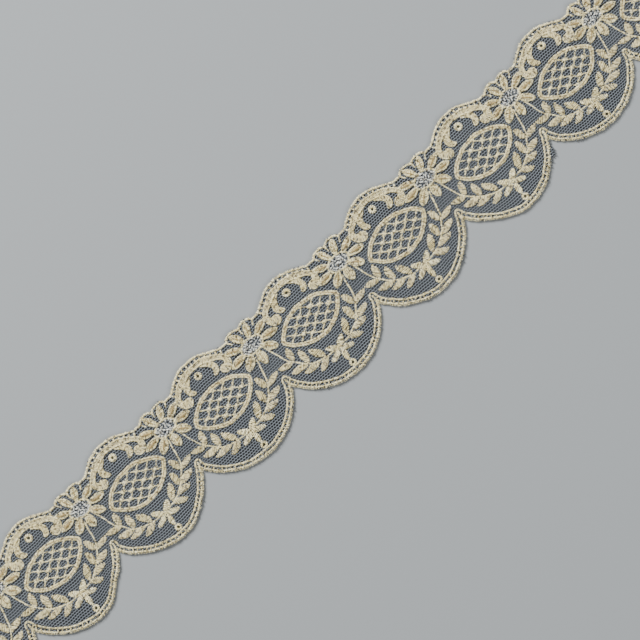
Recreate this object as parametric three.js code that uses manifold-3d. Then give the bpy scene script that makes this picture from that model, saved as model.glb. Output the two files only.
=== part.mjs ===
// Embroidered mesh trim: a cut length of fine net, scalloped along its lower edge and arched along its heading.
// Daisies, latticed ovals, scrolls, leaf sprays and corded edges are stitched through the net and stand proud of it.
// Millimetres, +Z up. X runs along the strip, +Y points to the heading, and the strip lies flat on Z = 0.
import * as THREE from 'three';
import { mergeVertices } from 'three/addons/utils/BufferGeometryUtils.js';
import loadManifold from 'manifold-3d';

const wasm = await loadManifold();
wasm.setup();

// Driving dimensions. One repeat is drawn about the middle of its oval.
const PITCH = 47.5;
const REPEATS = 8;
const LENGTH = 378;
const HALF_PITCH = PITCH / 2;
const NET_THICKNESS = 1.0;
const IVORY = 0xd8ccab;

// How far each kind of stitching stands above the net's face.
const RISE = { satin: 0.6, cord: 0.5, line: 0.35, eyelet: 0.45, disc: 0.3, lattice: 0.3 };

// Lower edge: one round scallop a repeat, with a cord on the edge and a second cord inside it.
const SCALLOP = { low: -27.3, valley: -13.2, steps: 9, cordWidth: 1.1 };
const INNER_CORD = { inset: 2.2, capReach: 1.2, capRise: 1.5, capSteps: 2, width: 1.0 };

// Heading: an arch over each oval, a short flat, and two small bumps over each daisy.
const ARCH = { top: 21.6, radius: 14.3, halfAngle: 0.55, steps: 4, footX: 13.1, footY: 16.3 };
const BUMP = { x: 20.05, y: 16.6, alongRadius: 3.7, riseRadius: 1.6, cut: 0.17, steps: 3 };
const HEADING_CORD_WIDTH = 0.9;

// Pointed oval and the lattice inside it, measured on the middle of its band.
const OVAL = { halfLength: 14.1, halfHeight: 7.55, bandWidth: 1.8, steps: 8 };
const OPENING = { halfLength: 2.4, halfHeight: 1.6 };
const OPENINGS = [
  { x: -6.25, y: 0, scale: 1 },
  { x: 0, y: 0, scale: 1 },
  { x: 6.25, y: 0, scale: 1 },
  { x: -9.4, y: 2.1, scale: 0.75 },
  { x: -3.15, y: 2.1, scale: 1 },
  { x: 3.15, y: 2.1, scale: 1 },
  { x: 9.4, y: 2.1, scale: 0.75 },
  { x: -6.25, y: 4.2, scale: 0.75 },
  { x: 0, y: 4.2, scale: 1 },
  { x: 6.25, y: 4.2, scale: 0.75 },
];

// Daisy at the middle between two ovals.
const DAISY = { y: 8.85, petals: 9, alongRadius: 12.0, acrossRadius: 9.2, petalWidth: 3.7 };
const DAISY_DISC = { alongRadius: 3.9, acrossRadius: 2.5, sides: 8, petalGap: 0.4 };

// Small rings: one under the arch, one below the sprig.
const EYELETS = [
  { y: 14.7, radius: 1.25, width: 1.5 },
  { y: -23.95, radius: 0.9, width: 1.0 },
];
const EYELET_SIDES = 8;

// Leaves of one spray, from the oval's middle. The other side of the repeat mirrors them.
const LEAVES = [
  { baseX: 16.5, baseY: -7.0, tipX: 14.6, tipY: -1.6, width: 3.0 },
  { baseX: 17.3, baseY: -7.7, tipX: 23.0, tipY: -5.7, width: 2.5 },
  { baseX: 12.8, baseY: -11.4, tipX: 12.1, tipY: -5.4, width: 3.0 },
  { baseX: 13.6, baseY: -12.2, tipX: 20.2, tipY: -10.2, width: 2.9 },
  { baseX: 6.1, baseY: -13.9, tipX: 9.2, tipY: -8.2, width: 3.1 },
  { baseX: 9.5, baseY: -14.5, tipX: 16.6, tipY: -14.0, width: 2.7 },
  { baseX: 5.5, baseY: -15.2, tipX: 11.9, tipY: -17.9, width: 2.9 },
];

// Petals of the sprig at the foot of the spray, mirrored too.
const SPRIG_PETALS = [
  { baseX: 0.5, baseY: -15.6, tipX: 4.2, tipY: -11.9, width: 2.7 },
  { baseX: 0.8, baseY: -16.6, tipX: 6.0, tipY: -18.3, width: 2.3 },
];
const SPRIG_DROP = { baseX: 0, baseY: -17.0, tipX: 0, tipY: -22.8, width: 2.5 };

// Stem from the sprig past the leaves up to the daisy.
const STEM_WIDTH = 0.8;
const STEM = [
  { x: 3.4, y: -15.2 },
  { x: 9.3, y: -13.9 },
  { x: 13.2, y: -11.8 },
  { x: 16.9, y: -7.4 },
  { x: 19.0, y: -3.6 },
  { x: 20.4, y: 1.8 },
];

// Scroll under the arch, a wide outer curl and an inner hook, as stroke points with the width at each.
const OUTER_CURL = [
  { x: 0, y: 18.9, width: 1.8 },
  { x: 4.0, y: 18.3, width: 2.2 },
  { x: 7.6, y: 16.8, width: 2.5 },
  { x: 10.9, y: 14.6, width: 2.5 },
  { x: 12.5, y: 12.2, width: 2.5 },
  { x: 12.1, y: 9.9, width: 2.9 },
  { x: 10.2, y: 9.1, width: 3.3 },
  { x: 9.0, y: 9.8, width: 1.6 },
];
const INNER_HOOK = [
  { x: 4.7, y: 16.3, width: 0.9 },
  { x: 6.3, y: 14.8, width: 1.8 },
  { x: 7.0, y: 12.9, width: 2.4 },
  { x: 6.5, y: 11.4, width: 2.2 },
  { x: 5.4, y: 10.7, width: 1.0 },
];

// How the strip lies, a row for each oval from the left end: its shift along and across, and its scallop's extra drop.
const LAY = [
  { along: 0, across: 0.6, drop: 0 },
  { along: 0.75, across: 0.5, drop: 0.5 },
  { along: -0.75, across: 0.35, drop: 0 },
  { along: -0.7, across: 0, drop: -0.6 },
  { along: 0.15, across: -0.3, drop: 0.3 },
  { along: 0.5, across: -0.3, drop: 0.5 },
  { along: 0.65, across: -0.3, drop: 0.5 },
  { along: -0.6, across: 0, drop: -1.0 },
  { along: 0, across: 0.2, drop: 0 },
];
const DROP_FROM = -8;

const { clamp, lerp, smoothstep } = THREE.MathUtils;
const SIDES = [-1, 1];
const axes = Array.from({ length: REPEATS + 1 }, (_, i) => (i - REPEATS / 2) * PITCH);

/** A closed three.js geometry as a solid that can be joined and cut. */
function toSolid(geometry) {
  const bare = geometry.index ? geometry.toNonIndexed() : geometry.clone();
  bare.deleteAttribute('normal');
  bare.deleteAttribute('uv');
  const merged = mergeVertices(bare);
  const mesh = new wasm.Mesh({
    numProp: 3,
    vertProperties: new Float32Array(merged.attributes.position.array),
    triVerts: new Uint32Array(merged.index.array),
  });
  return new wasm.Manifold(mesh);
}

/** A low ridge on a line of points with a width at each: a diamond section, its lower half in the net. */
function ridge(points, rise, closed = false) {
  const count = points.length;
  const vertices = [];
  points.forEach(({ x, y, width }, i) => {
    const before = points[closed ? (i + count - 1) % count : Math.max(i - 1, 0)];
    const after = points[closed ? (i + 1) % count : Math.min(i + 1, count - 1)];
    const ahead = new THREE.Vector2(after.x - before.x, after.y - before.y).setLength(width / 2);
    vertices.push(x - ahead.y, y + ahead.x, NET_THICKNESS);
    vertices.push(x, y, NET_THICKNESS + rise);
    vertices.push(x + ahead.y, y - ahead.x, NET_THICKNESS);
    vertices.push(x, y, NET_THICKNESS - rise);
  });
  const faces = [];
  const spans = closed ? count : count - 1;
  for (let i = 0; i < spans; i += 1) {
    for (let j = 0; j < 4; j += 1) {
      const turn = (j + 1) % 4;
      const here = i * 4;
      const next = ((i + 1) % count) * 4;
      faces.push(here + j, here + turn, next + turn, here + j, next + turn, next + j);
    }
  }
  if (!closed) {
    const last = (count - 1) * 4;
    faces.push(0, 3, 2, 0, 2, 1);
    faces.push(last, last + 1, last + 2, last, last + 2, last + 3);
  }
  const geometry = new THREE.BufferGeometry();
  geometry.setAttribute('position', new THREE.Float32BufferAttribute(vertices, 3));
  geometry.setIndex(faces);
  return toSolid(geometry);
}

/** A satin stroke on one side of an axis. */
function stroke(points, axis, side, rise) {
  return ridge(points.map(({ x, y, width }) => ({ x: axis + side * x, y, width })), rise);
}

/** A satin leaf or petal from its base to its tip: a flat spindle with a ridge down its middle. */
function leaf({ baseX, baseY, tipX, tipY, width }, axis, side = 1) {
  const reach = width / 2;
  const length = Math.hypot(tipX - baseX, tipY - baseY);
  const profile = [
    new THREE.Vector2(0, 0),
    new THREE.Vector2(reach, 0.34 * length),
    new THREE.Vector2(0.92 * reach, 0.68 * length),
    new THREE.Vector2(0, length),
  ];
  const geometry = new THREE.LatheGeometry(profile, 4);
  geometry.scale(1, 1, RISE.satin / reach);
  geometry.rotateZ(Math.atan2(tipY - baseY, side * (tipX - baseX)) - Math.PI / 2);
  geometry.translate(axis + side * baseX, baseY, NET_THICKNESS);
  return toSolid(geometry);
}

/** A small stitched ring. */
function eyelet({ y, radius, width }, axis) {
  const half = width / 2;
  const section = [
    new THREE.Vector2(radius - half, 0),
    new THREE.Vector2(radius, -RISE.eyelet),
    new THREE.Vector2(radius + half, 0),
    new THREE.Vector2(radius, RISE.eyelet),
    new THREE.Vector2(radius - half, 0),
  ];
  const geometry = new THREE.LatheGeometry(section, EYELET_SIDES);
  geometry.rotateX(Math.PI / 2);
  geometry.translate(axis, y, NET_THICKNESS);
  return toSolid(geometry);
}

/** A daisy: petals set evenly round an oval disc, one of them pointing straight down. */
function daisy(axis) {
  const alongBase = DAISY_DISC.alongRadius + DAISY_DISC.petalGap;
  const acrossBase = DAISY_DISC.acrossRadius + DAISY_DISC.petalGap;
  const petals = Array.from({ length: DAISY.petals }, (_, i) => {
    const turn = -Math.PI / 2 + (i * 2 * Math.PI) / DAISY.petals;
    const petal = {
      baseX: alongBase * Math.cos(turn),
      baseY: DAISY.y + acrossBase * Math.sin(turn),
      tipX: DAISY.alongRadius * Math.cos(turn),
      tipY: DAISY.y + DAISY.acrossRadius * Math.sin(turn),
      width: DAISY.petalWidth,
    };
    return leaf(petal, axis);
  });
  const profile = [new THREE.Vector2(0, -RISE.disc), new THREE.Vector2(1, 0), new THREE.Vector2(0, RISE.disc)];
  const disc = new THREE.LatheGeometry(profile, DAISY_DISC.sides);
  disc.rotateX(Math.PI / 2);
  disc.scale(DAISY_DISC.alongRadius, DAISY_DISC.acrossRadius, 1);
  disc.translate(axis, DAISY.y, NET_THICKNESS);
  return [...petals, toSolid(disc)];
}

/** Centre height and radius of the circle of a scallop's edge, or of a line parallel to it. */
function scallopCircle(inset = 0) {
  const depth = SCALLOP.valley - SCALLOP.low;
  const radius = (HALF_PITCH ** 2 + depth ** 2) / (2 * depth);
  return { y: SCALLOP.low + radius, radius: radius - inset };
}

/** Points on a scallop's arc between two distances from its middle. */
function scallopArc(x, reach, inset = 0) {
  const { y, radius } = scallopCircle(inset);
  const half = Math.asin(reach / radius);
  const arc = new THREE.EllipseCurve(x, y, radius, radius, -Math.PI / 2 - half, -Math.PI / 2 + half);
  return arc.getPoints(SCALLOP.steps);
}

/** The lower edge from left to right, valley to valley. */
function lowerEdge() {
  return axes.flatMap((x, i) => scallopArc(x, HALF_PITCH).slice(i === 0 ? 0 : 1));
}

/** The cord inside the lower edge: scallop arcs joined by a round cap over each valley. */
function innerCord() {
  const reach = HALF_PITCH - INNER_CORD.capReach;
  const { y, radius } = scallopCircle(INNER_CORD.inset);
  const capY = y - Math.sqrt(radius ** 2 - reach ** 2);
  return axes.flatMap((x, i) => {
    const arc = scallopArc(x, reach, INNER_CORD.inset);
    if (i === axes.length - 1) return arc;
    const { capReach, capRise, capSteps } = INNER_CORD;
    const cap = new THREE.EllipseCurve(x + HALF_PITCH, capY, capReach, capRise, Math.PI, 0, true);
    return [...arc, ...cap.getPoints(capSteps + 1).slice(1, -1)];
  });
}

/** The heading from left to right: bumps over the daisies, arches over the ovals. */
function upperEdge() {
  const centreY = ARCH.top - ARCH.radius;
  return axes.flatMap((x) => {
    const bump = (side) =>
      new THREE.EllipseCurve(x + side * BUMP.x, BUMP.y, BUMP.alongRadius, BUMP.riseRadius,
        Math.PI - BUMP.cut, BUMP.cut, true).getPoints(BUMP.steps);
    const arch = new THREE.EllipseCurve(x, centreY, ARCH.radius, ARCH.radius,
      Math.PI / 2 + ARCH.halfAngle, Math.PI / 2 - ARCH.halfAngle, true).getPoints(ARCH.steps);
    const foot = (side) => new THREE.Vector2(x + side * ARCH.footX, ARCH.footY);
    return [...bump(-1), foot(-1), ...arch, foot(1), ...bump(1)];
  });
}

/** Points given one width. */
function even(points, width) {
  return points.map(({ x, y }) => ({ x, y, width }));
}

/** A pointed oval on the middle of its band: two equal arcs that meet at its ends. */
function ovalPoints(axis) {
  const { halfLength, halfHeight, steps } = OVAL;
  const radius = (halfLength ** 2 + halfHeight ** 2) / (2 * halfHeight);
  const half = Math.asin(halfLength / radius);
  return SIDES.flatMap((side) => {
    const middle = (side * Math.PI) / 2;
    const centreY = side * (halfHeight - radius);
    const arc = new THREE.EllipseCurve(axis, centreY, radius, radius, middle - half, middle + half);
    return arc.getPoints(steps).slice(0, -1);
  });
}

/** The lattice's plate inside an oval, its edge hidden under the band. */
function latticePlate(axis) {
  const root = NET_THICKNESS / 2;
  const outline = new THREE.Shape(ovalPoints(axis));
  const plate = new THREE.ExtrudeGeometry(outline, { depth: root + RISE.lattice, bevelEnabled: false });
  plate.translate(0, 0, NET_THICKNESS - root);
  return toSolid(plate);
}

/** The lattice's openings: four-sided pits down to the net, the same above and below the oval's long axis. */
function latticeOpenings(axis) {
  const rows = OPENINGS.flatMap((row) => (row.y > 0 ? [row, { ...row, y: -row.y }] : [row]));
  return rows.map(({ x, y, scale }) => {
    const pit = new THREE.ConeGeometry(1, 2 * RISE.lattice, 4);
    pit.rotateX(-Math.PI / 2);
    pit.scale(2 * scale * OPENING.halfLength, 2 * scale * OPENING.halfHeight, 1);
    pit.translate(axis + x, y, NET_THICKNESS + RISE.lattice);
    return toSolid(pit);
  });
}

/** Everything stitched about one oval's axis, with the daisy to its right. */
function repeat(axis) {
  return [
    latticePlate(axis),
    ridge(even(ovalPoints(axis), OVAL.bandWidth), RISE.cord, true),
    ...EYELETS.map((row) => eyelet(row, axis)),
    leaf(SPRIG_DROP, axis),
    ...SIDES.flatMap((side) => [
      ...[...LEAVES, ...SPRIG_PETALS].map((row) => leaf(row, axis, side)),
      stroke(OUTER_CURL, axis, side, RISE.satin),
      stroke(INNER_HOOK, axis, side, RISE.satin),
      stroke(even(STEM, STEM_WIDTH), axis, side, RISE.line),
    ]),
    ...daisy(axis + HALF_PITCH),
  ];
}

/** Where a point of the straight pattern comes to lie. */
function laid(x, y) {
  const at = clamp(x / PITCH + REPEATS / 2, 0, REPEATS);
  const left = Math.min(Math.floor(at), REPEATS - 1);
  const share = smoothstep(at - left, 0, 1);
  const [along, across, drop] = ['along', 'across', 'drop'].map((column) =>
    lerp(LAY[left][column], LAY[left + 1][column], share));
  const depth = clamp((y - DROP_FROM) / (SCALLOP.low - DROP_FROM), 0, 1);
  return { x: x + along, y: y + across - drop * depth };
}

/** The whole trim as one solid, cut square at both ends. */
function trimSolid() {
  const outline = new THREE.Shape([...lowerEdge(), ...upperEdge().reverse()]);
  const net = new THREE.ExtrudeGeometry(outline, { depth: NET_THICKNESS, bevelEnabled: false });
  const stitching = [
    ridge(even(lowerEdge(), SCALLOP.cordWidth), RISE.cord),
    ridge(even(innerCord(), INNER_CORD.width), RISE.cord),
    ridge(even(upperEdge(), HEADING_CORD_WIDTH), RISE.cord),
    ...axes.flatMap(repeat),
  ];
  const cutLength = new THREE.BoxGeometry(LENGTH, 2 * PITCH, PITCH);
  const joined = stitching.reduce((whole, piece) => whole.add(piece), toSolid(net));
  const opened = axes.flatMap(latticeOpenings).reduce((whole, pit) => whole.subtract(pit), joined);
  return opened.intersect(toSolid(cutLength));
}

/** The solid's triangles as a geometry, laid as the strip lies and centred on its box. */
function laidGeometry(solid) {
  const { vertProperties, triVerts } = solid.getMesh();
  const geometry = new THREE.BufferGeometry();
  const position = new THREE.BufferAttribute(new Float32Array(vertProperties), 3);
  for (let i = 0; i < position.count; i += 1) {
    const { x, y } = laid(position.getX(i), position.getY(i));
    position.setXY(i, x, y);
  }
  geometry.setAttribute('position', position);
  geometry.setIndex(new THREE.BufferAttribute(new Uint32Array(triVerts), 1));
  geometry.computeBoundingBox();
  const centre = geometry.boundingBox.getCenter(new THREE.Vector3());
  geometry.translate(-centre.x, -centre.y, 0);
  geometry.computeVertexNormals();
  return geometry;
}

const ivoryThread = new THREE.MeshStandardMaterial({
  color: IVORY,
  roughness: 0.85,
  metalness: 0,
  flatShading: true,
});
const trim = new THREE.Mesh(laidGeometry(trimSolid()), ivoryThread);
trim.name = 'embroidered_trim';

const part = new THREE.Group();
part.add(trim);

export default part;
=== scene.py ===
"""Embroidered mesh trim: fine hexagonal net with ivory machine stitching, lying flat on a pale floor.

Sizes are millimetres on the straight pattern, from the middle of an oval, with X along the strip and Y
towards the heading. Lay takes a pattern point to the part's frame, in metres, with the small shifts of a
strip laid by hand. Each part of the embroidery gives rows of stitches, and the machine sews them.
"""

from __future__ import annotations

import logging
import math
from dataclasses import dataclass, replace
from enum import Enum
from functools import partial
from typing import Any, Callable, Sequence

import bmesh
import bpy
import numpy as np
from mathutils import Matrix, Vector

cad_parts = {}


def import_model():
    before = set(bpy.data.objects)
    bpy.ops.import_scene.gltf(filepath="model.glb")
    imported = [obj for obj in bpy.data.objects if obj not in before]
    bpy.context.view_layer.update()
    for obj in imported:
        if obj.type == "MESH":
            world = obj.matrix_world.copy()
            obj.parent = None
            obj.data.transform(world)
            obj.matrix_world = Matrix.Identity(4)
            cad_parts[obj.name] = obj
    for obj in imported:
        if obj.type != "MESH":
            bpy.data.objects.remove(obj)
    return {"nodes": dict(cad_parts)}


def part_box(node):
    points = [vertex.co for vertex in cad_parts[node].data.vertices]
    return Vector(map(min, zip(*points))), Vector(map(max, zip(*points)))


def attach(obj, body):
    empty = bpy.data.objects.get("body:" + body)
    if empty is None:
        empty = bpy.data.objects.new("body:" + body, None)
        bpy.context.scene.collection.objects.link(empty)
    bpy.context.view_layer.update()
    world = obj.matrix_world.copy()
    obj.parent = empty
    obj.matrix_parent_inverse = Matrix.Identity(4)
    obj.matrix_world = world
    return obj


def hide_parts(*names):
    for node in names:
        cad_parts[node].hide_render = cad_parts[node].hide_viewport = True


log = logging.getLogger("trim")

MM = 0.001
NODE = "embroidered_trim"
BODY = "root"

PITCH = 47.5
HALF_PITCH = PITCH / 2
REPEATS = 8
LENGTH = 378.0
NET_HEIGHT = 0.7
AXES = tuple((i - REPEATS / 2) * PITCH for i in range(REPEATS + 1))
SIDES = (-1, 1)
UP = (0, 0, 1)
TINY = 1e-9


class Direction(Enum):
    """Which way a stitch lies on its row."""

    ACROSS = False
    ALONG = True


class LoopShape(Enum):
    """A stitch seen from its end, over the net: shares of its half length and height, from right to left."""

    ROUND = ((1.0, 0.0), (0.62, 1.0), (-0.62, 1.0), (-1.0, 0.0))
    FLAT = ((1.0, 0.0), (0.88, 0.8), (0.45, 1.0), (-0.45, 1.0), (-0.88, 0.8), (-1.0, 0.0))
    RIMMED = ((1.0, 0.0), (0.9, 0.85), (0.66, 1.0), (0.0, 0.66), (-0.66, 1.0), (-0.9, 0.85), (-1.0, 0.0))


@dataclass(frozen=True)
class OvalLay:
    """How far one oval of the strip lies from its even place, in millimetres.

    Attributes:
        along: the oval's own shift along the strip.
        across: its shift towards the heading.
        drop: how much deeper its scallop hangs.
        lean: the shift along the strip of the valley to its right.
        lift: how much higher that valley lies.
        flanks: how far the left and right flanks of its scallop are drawn in.
    """

    along: float
    across: float
    drop: float
    lean: float = 0.0
    lift: float = 0.0
    flanks: tuple[float, float] = (0.0, 0.0)


@dataclass(frozen=True)
class Lay:
    """The strip's lay, and the step from the pattern to the part's frame.

    Attributes:
        shift: from the pattern to the frame, towards the heading.
        low: the height where a scallop's drop is full.
        valley: the height where a valley's lean is full.
        drop_from: the height where both begin.
        flank_power: above 1, it moves the fullest part of a drawn-in flank towards the valley.
        wobble: how far the stitches pull the net.
        pull: the waves of that pull across the strip, each with its rates along X and Y and its phase.
        sway: the waves of that pull along the strip.
        ovals: a row for each oval, from the left end.
    """

    shift: float
    low: float
    valley: float
    drop_from: float = -8.0
    flank_power: float = 1.5
    wobble: float = 0.16
    pull: tuple[tuple[float, float, float], ...] = ((0.83, 0.31, 0.0), (0.37, -0.52, 1.0))
    sway: tuple[tuple[float, float, float], ...] = ((-0.45, 0.61, 0.0), (0.71, 0.29, 2.0))
    ovals: tuple[OvalLay, ...] = (
        OvalLay(0.0, 0.6, 0.0),
        OvalLay(0.75, 0.5, 0.9, -1.2, 0.3, (0.0, 2.4)),
        OvalLay(-0.6, 0.2, 0.0, -1.1, 0.5, (0.7, 0.8)),
        OvalLay(-0.7, 0.0, -0.2, -0.2),
        OvalLay(0.15, -0.3, 0.4),
        OvalLay(0.35, -0.15, 0.6, -0.1, 0.8, (0.3, 0.7)),
        OvalLay(0.65, -0.3, 0.5, -0.6, 0.2, (1.3, 0.0)),
        OvalLay(-0.8, -0.1, -0.7, flanks=(0.5, 0.0)),
        OvalLay(-3.0, -0.3, 0.0),
    )

    def place(self, points: np.ndarray, height: float) -> np.ndarray:
        """Takes pattern points to the part's frame, with the slight pull of the stitches on the net.

        Args:
            points: pattern X and Y in millimetres, a row for each point.
            height: millimetres above the floor.

        Returns:
            X, Y and Z in metres, a row for each point.
        """
        x, y = points[:, 0], points[:, 1]
        at = np.clip(x / PITCH + REPEATS / 2, 0, REPEATS)
        left = np.minimum(at.astype(int), REPEATS - 1)
        share = at - left
        near_valley = np.sin(share * math.pi) ** 2
        flanks = np.array([oval.flanks for oval in self.ovals])
        flank = np.where(share < 0.5, flanks[left, 1], flanks[left + 1, 0])
        flank = flank * np.sin(math.pi * (2 * np.minimum(share, 1 - share)) ** self.flank_power) ** 2
        share = share * share * (3 - 2 * share)
        rows = np.array([(oval.along, oval.across, oval.drop) for oval in self.ovals])
        along, across, drop = (rows[left] * (1 - share)[:, None] + rows[left + 1] * share[:, None]).T
        below = y - self.drop_from
        depth, low = (np.clip(below / (full - self.drop_from), 0, 1) for full in (self.low, self.valley))
        lean, lift = np.array([(oval.lean, oval.lift) for oval in self.ovals])[left].T
        along = along + lean * near_valley * low
        lift = lift * near_valley**2 * low
        pull, sway = (
            self.wobble * sum(np.sin(a * x + b * y + phase) for a, b, phase in waves) / 2
            for waves in (self.pull, self.sway)
        )
        laid_y = y + across + (flank - drop) * depth + lift + self.shift + pull
        return np.stack([x + along + sway, laid_y, np.full_like(x, height)], axis=1) * MM


def arc(centre: Sequence[float], radii: Sequence[float], start: float, end: float, count: int) -> np.ndarray:
    """Points on an ellipse's arc.

    Args:
        centre: X and Y of the ellipse's middle.
        radii: its radii along X and Y.
        start: angle of the first point, in degrees.
        end: angle of the last point, in degrees.
        count: how many points.

    Returns:
        X and Y, a row for each point.
    """
    turn = np.radians(np.linspace(start, end, count))
    return np.stack([centre[0] + radii[0] * np.cos(turn), centre[1] + radii[1] * np.sin(turn)], axis=1)


def ellipse(centre: Sequence[float], radii: Sequence[float], count: int) -> np.ndarray:
    """Points round a whole ellipse."""
    return arc(centre, radii, 0, 360, count + 1)[:-1]


def smooth(points: Sequence[Sequence[float]], steps: int = 6) -> np.ndarray:
    """A smooth line through given rows, with every column smoothed alike.

    Args:
        points: the rows, such as X, Y and half width.
        steps: points in each stretch between two rows.

    Returns:
        The line's rows.
    """
    rows = np.array(points, float)
    ends = np.concatenate([2 * rows[:1] - rows[1:2], rows, 2 * rows[-1:] - rows[-2:-1]])
    line = []
    for before, here, after, beyond in zip(ends, ends[1:], ends[2:], ends[3:]):
        first = 2 * before - 5 * here + 4 * after - beyond
        second = 3 * here - before - 3 * after + beyond
        for t in np.arange(steps) / steps:
            bend = first * t + second * t * t
            line.append(here + 0.5 * t * (after - before + bend))
    return np.array([*line, rows[-1]])


def beside(path: np.ndarray, distance: float | np.ndarray) -> np.ndarray:
    """An open path moved sideways.

    Args:
        path: X and Y, a row for each point.
        distance: how far to its left, or to its right for a negative one, for all points or for each.

    Returns:
        The moved path's rows.
    """
    ahead = np.gradient(path, axis=0)
    ahead /= np.maximum(np.linalg.norm(ahead, axis=1, keepdims=True), TINY)
    aside = np.stack([-ahead[:, 1], ahead[:, 0]], axis=1)
    return path + aside * np.reshape(distance, (-1, 1))


@dataclass
class Row:
    """One row of stitches: its path, and half the length of a stitch at each of its points."""

    path: np.ndarray
    half: float | np.ndarray
    slant: float = 0.0
    closed: bool = False

    def moved(self, axis: float, side: int = 1) -> Row:
        """The same row about another axis, mirrored for side -1."""
        return replace(self, path=self.path * (side, 1) + (axis, 0), slant=self.slant * side)


def on_axes(rows: Sequence[Row], sides: Sequence[int] = (1,), start: float = 0.0) -> list[Row]:
    """Repeats rows along the strip.

    Args:
        rows: one repeat's rows, about X = 0.
        sides: 1 for the rows as they are, -1 for their mirror.
        start: how far the repeat's middle is from the oval's axis.

    Returns:
        The rows about every axis. What lies past the strip's ends isn't sewn.
    """
    return [row.moved(axis + start, side) for axis in AXES for side in sides for row in rows]


@dataclass(frozen=True)
class StitchStyle:
    """How the stitches of a piece are set, in millimetres and degrees.

    Real stitches are too fine to show in the render, so they are drawn about twice as coarse.

    Attributes:
        spacing: from one stitch to the next.
        thread: a stitch's width.
        rise: its height over the net.
        lift: how far the whole row stands above the net.
        under: its depth under the net, as a share of its height.
        loop: its shape seen from its end.
        direction: whether it lies across its row or along it.
        slant_spread: most that its slant varies by.
        length_spread: most that its length varies by, as a share.
        height_spread: most that its height varies by, as a share.
        wander: most that its place varies by.
    """

    spacing: float
    thread: float
    rise: float
    lift: float = 0.0
    under: float = 0.8
    loop: LoopShape = LoopShape.FLAT
    direction: Direction = Direction.ACROSS
    slant_spread: float = 4.0
    length_spread: float = 0.06
    height_spread: float = 0.12
    wander: float = 0.04


SATIN = StitchStyle(
    spacing=0.66, thread=0.68, rise=0.75, slant_spread=9, length_spread=0.14, height_spread=0.25, wander=0.1
)
PETAL = replace(SATIN, rise=0.6, length_spread=0.06, slant_spread=6)
RING = replace(SATIN, rise=0.55, slant_spread=4, length_spread=0.06, wander=0.03)
RIMMED = replace(SATIN, loop=LoopShape.RIMMED)
LEAF = replace(RIMMED, slant_spread=6, length_spread=0.08)
SCROLL_BAND = replace(RIMMED, spacing=0.58, rise=0.6, slant_spread=5, wander=0.06)
CORD = StitchStyle(
    spacing=0.58,
    thread=0.62,
    rise=0.6,
    loop=LoopShape.ROUND,
    slant_spread=12,
    length_spread=0.22,
    height_spread=0.25,
    wander=0.08,
)
HEADING_CORD = replace(CORD, rise=0.5)
SCROLL_RIM = replace(CORD, rise=0.55, lift=0.1)
LINE = replace(CORD, spacing=0.52, thread=0.58, rise=0.4, length_spread=0.25)
PETAL_RIM = replace(LINE, rise=0.6, lift=0.15)
PADDING_AND_SHADE = replace(LINE, lift=0.5)
MIDDLE_RIM = replace(LINE, lift=0.2)
LOOSE = replace(LINE, spacing=1.7, thread=0.45, slant_spread=30, wander=0.3)
RUNG = replace(LINE, spacing=2.1, thread=0.75, slant_spread=22)
BAR = replace(LINE, rise=0.45, length_spread=0.35, wander=0.12)
PICOT = replace(LINE, spacing=1.05, thread=0.42, rise=0.3, slant_spread=25, length_spread=0.35, wander=0.12)
RUNNING = StitchStyle(
    spacing=1.05, thread=0.5, rise=0.35, lift=0.2, loop=LoopShape.ROUND, direction=Direction.ALONG
)
WHISKER = StitchStyle(
    spacing=0.65, thread=0.24, rise=0.2, loop=LoopShape.ROUND, slant_spread=45, length_spread=0.6, wander=0.1
)


def add_node(
    tree: bpy.types.NodeTree, kind: str, inputs: dict[str | int, Any] | None = None, **settings: Any
) -> bpy.types.Node:
    """Adds a node with its settings, input values and links.

    Args:
        tree: the node tree.
        kind: the node's type.
        inputs: by the input's name or number, a value, a socket to link, or a node for its first output.
        **settings: the node's own properties.

    Returns:
        The node.
    """
    node = tree.nodes.new(kind)
    for name, value in settings.items():
        setattr(node, name, value)
    for key, value in (inputs or {}).items():
        named = [socket for socket in node.inputs if socket.enabled and socket.name == key]
        target = named[0] if named else node.inputs[key]
        if isinstance(value, bpy.types.Node):
            value = next(socket for socket in value.outputs if socket.enabled)
        if isinstance(value, bpy.types.NodeSocket):
            tree.links.new(value, target)
        else:
            target.default_value = value
    return node


def mesh_of(name: str, vertices: Any, edges: Sequence[Any] = (), faces: Sequence[Any] = ()) -> bpy.types.Mesh:
    """Makes a mesh.

    Args:
        name: the mesh's name.
        vertices: X, Y and Z, a row for each.
        edges: pairs of vertex numbers.
        faces: the vertex numbers of each face.

    Returns:
        The mesh.
    """
    mesh = bpy.data.meshes.new(name)
    mesh.from_pydata(np.asarray(vertices).tolist(), list(edges), [list(face) for face in faces])
    return mesh


def put(name: str, data: bpy.types.ID) -> bpy.types.Object:
    """Puts an object in the scene, at the origin.

    Args:
        name: the object's name.
        data: its mesh, light or camera.

    Returns:
        The object.
    """
    made = bpy.data.objects.new(name, data)
    bpy.context.scene.collection.objects.link(made)
    return made


def vectors(items: Any, key: str) -> np.ndarray:
    """Reads a vector property of all a mesh's vertices or faces.

    Args:
        items: the vertices or faces.
        key: the property's name.

    Returns:
        X, Y and Z, a row for each.
    """
    values = np.empty(len(items) * 3)
    items.foreach_get(key, values)
    return values.reshape(-1, 3)


def carry(piece: bpy.types.Object) -> bpy.types.Object:
    """Lets a piece ride on the part, and reports it.

    Args:
        piece: the finished piece.

    Returns:
        The same piece.
    """
    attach(piece, BODY)
    log.info("%s: %d triangles", piece.name, sum(len(face.vertices) - 2 for face in piece.data.polygons))
    return piece


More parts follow.
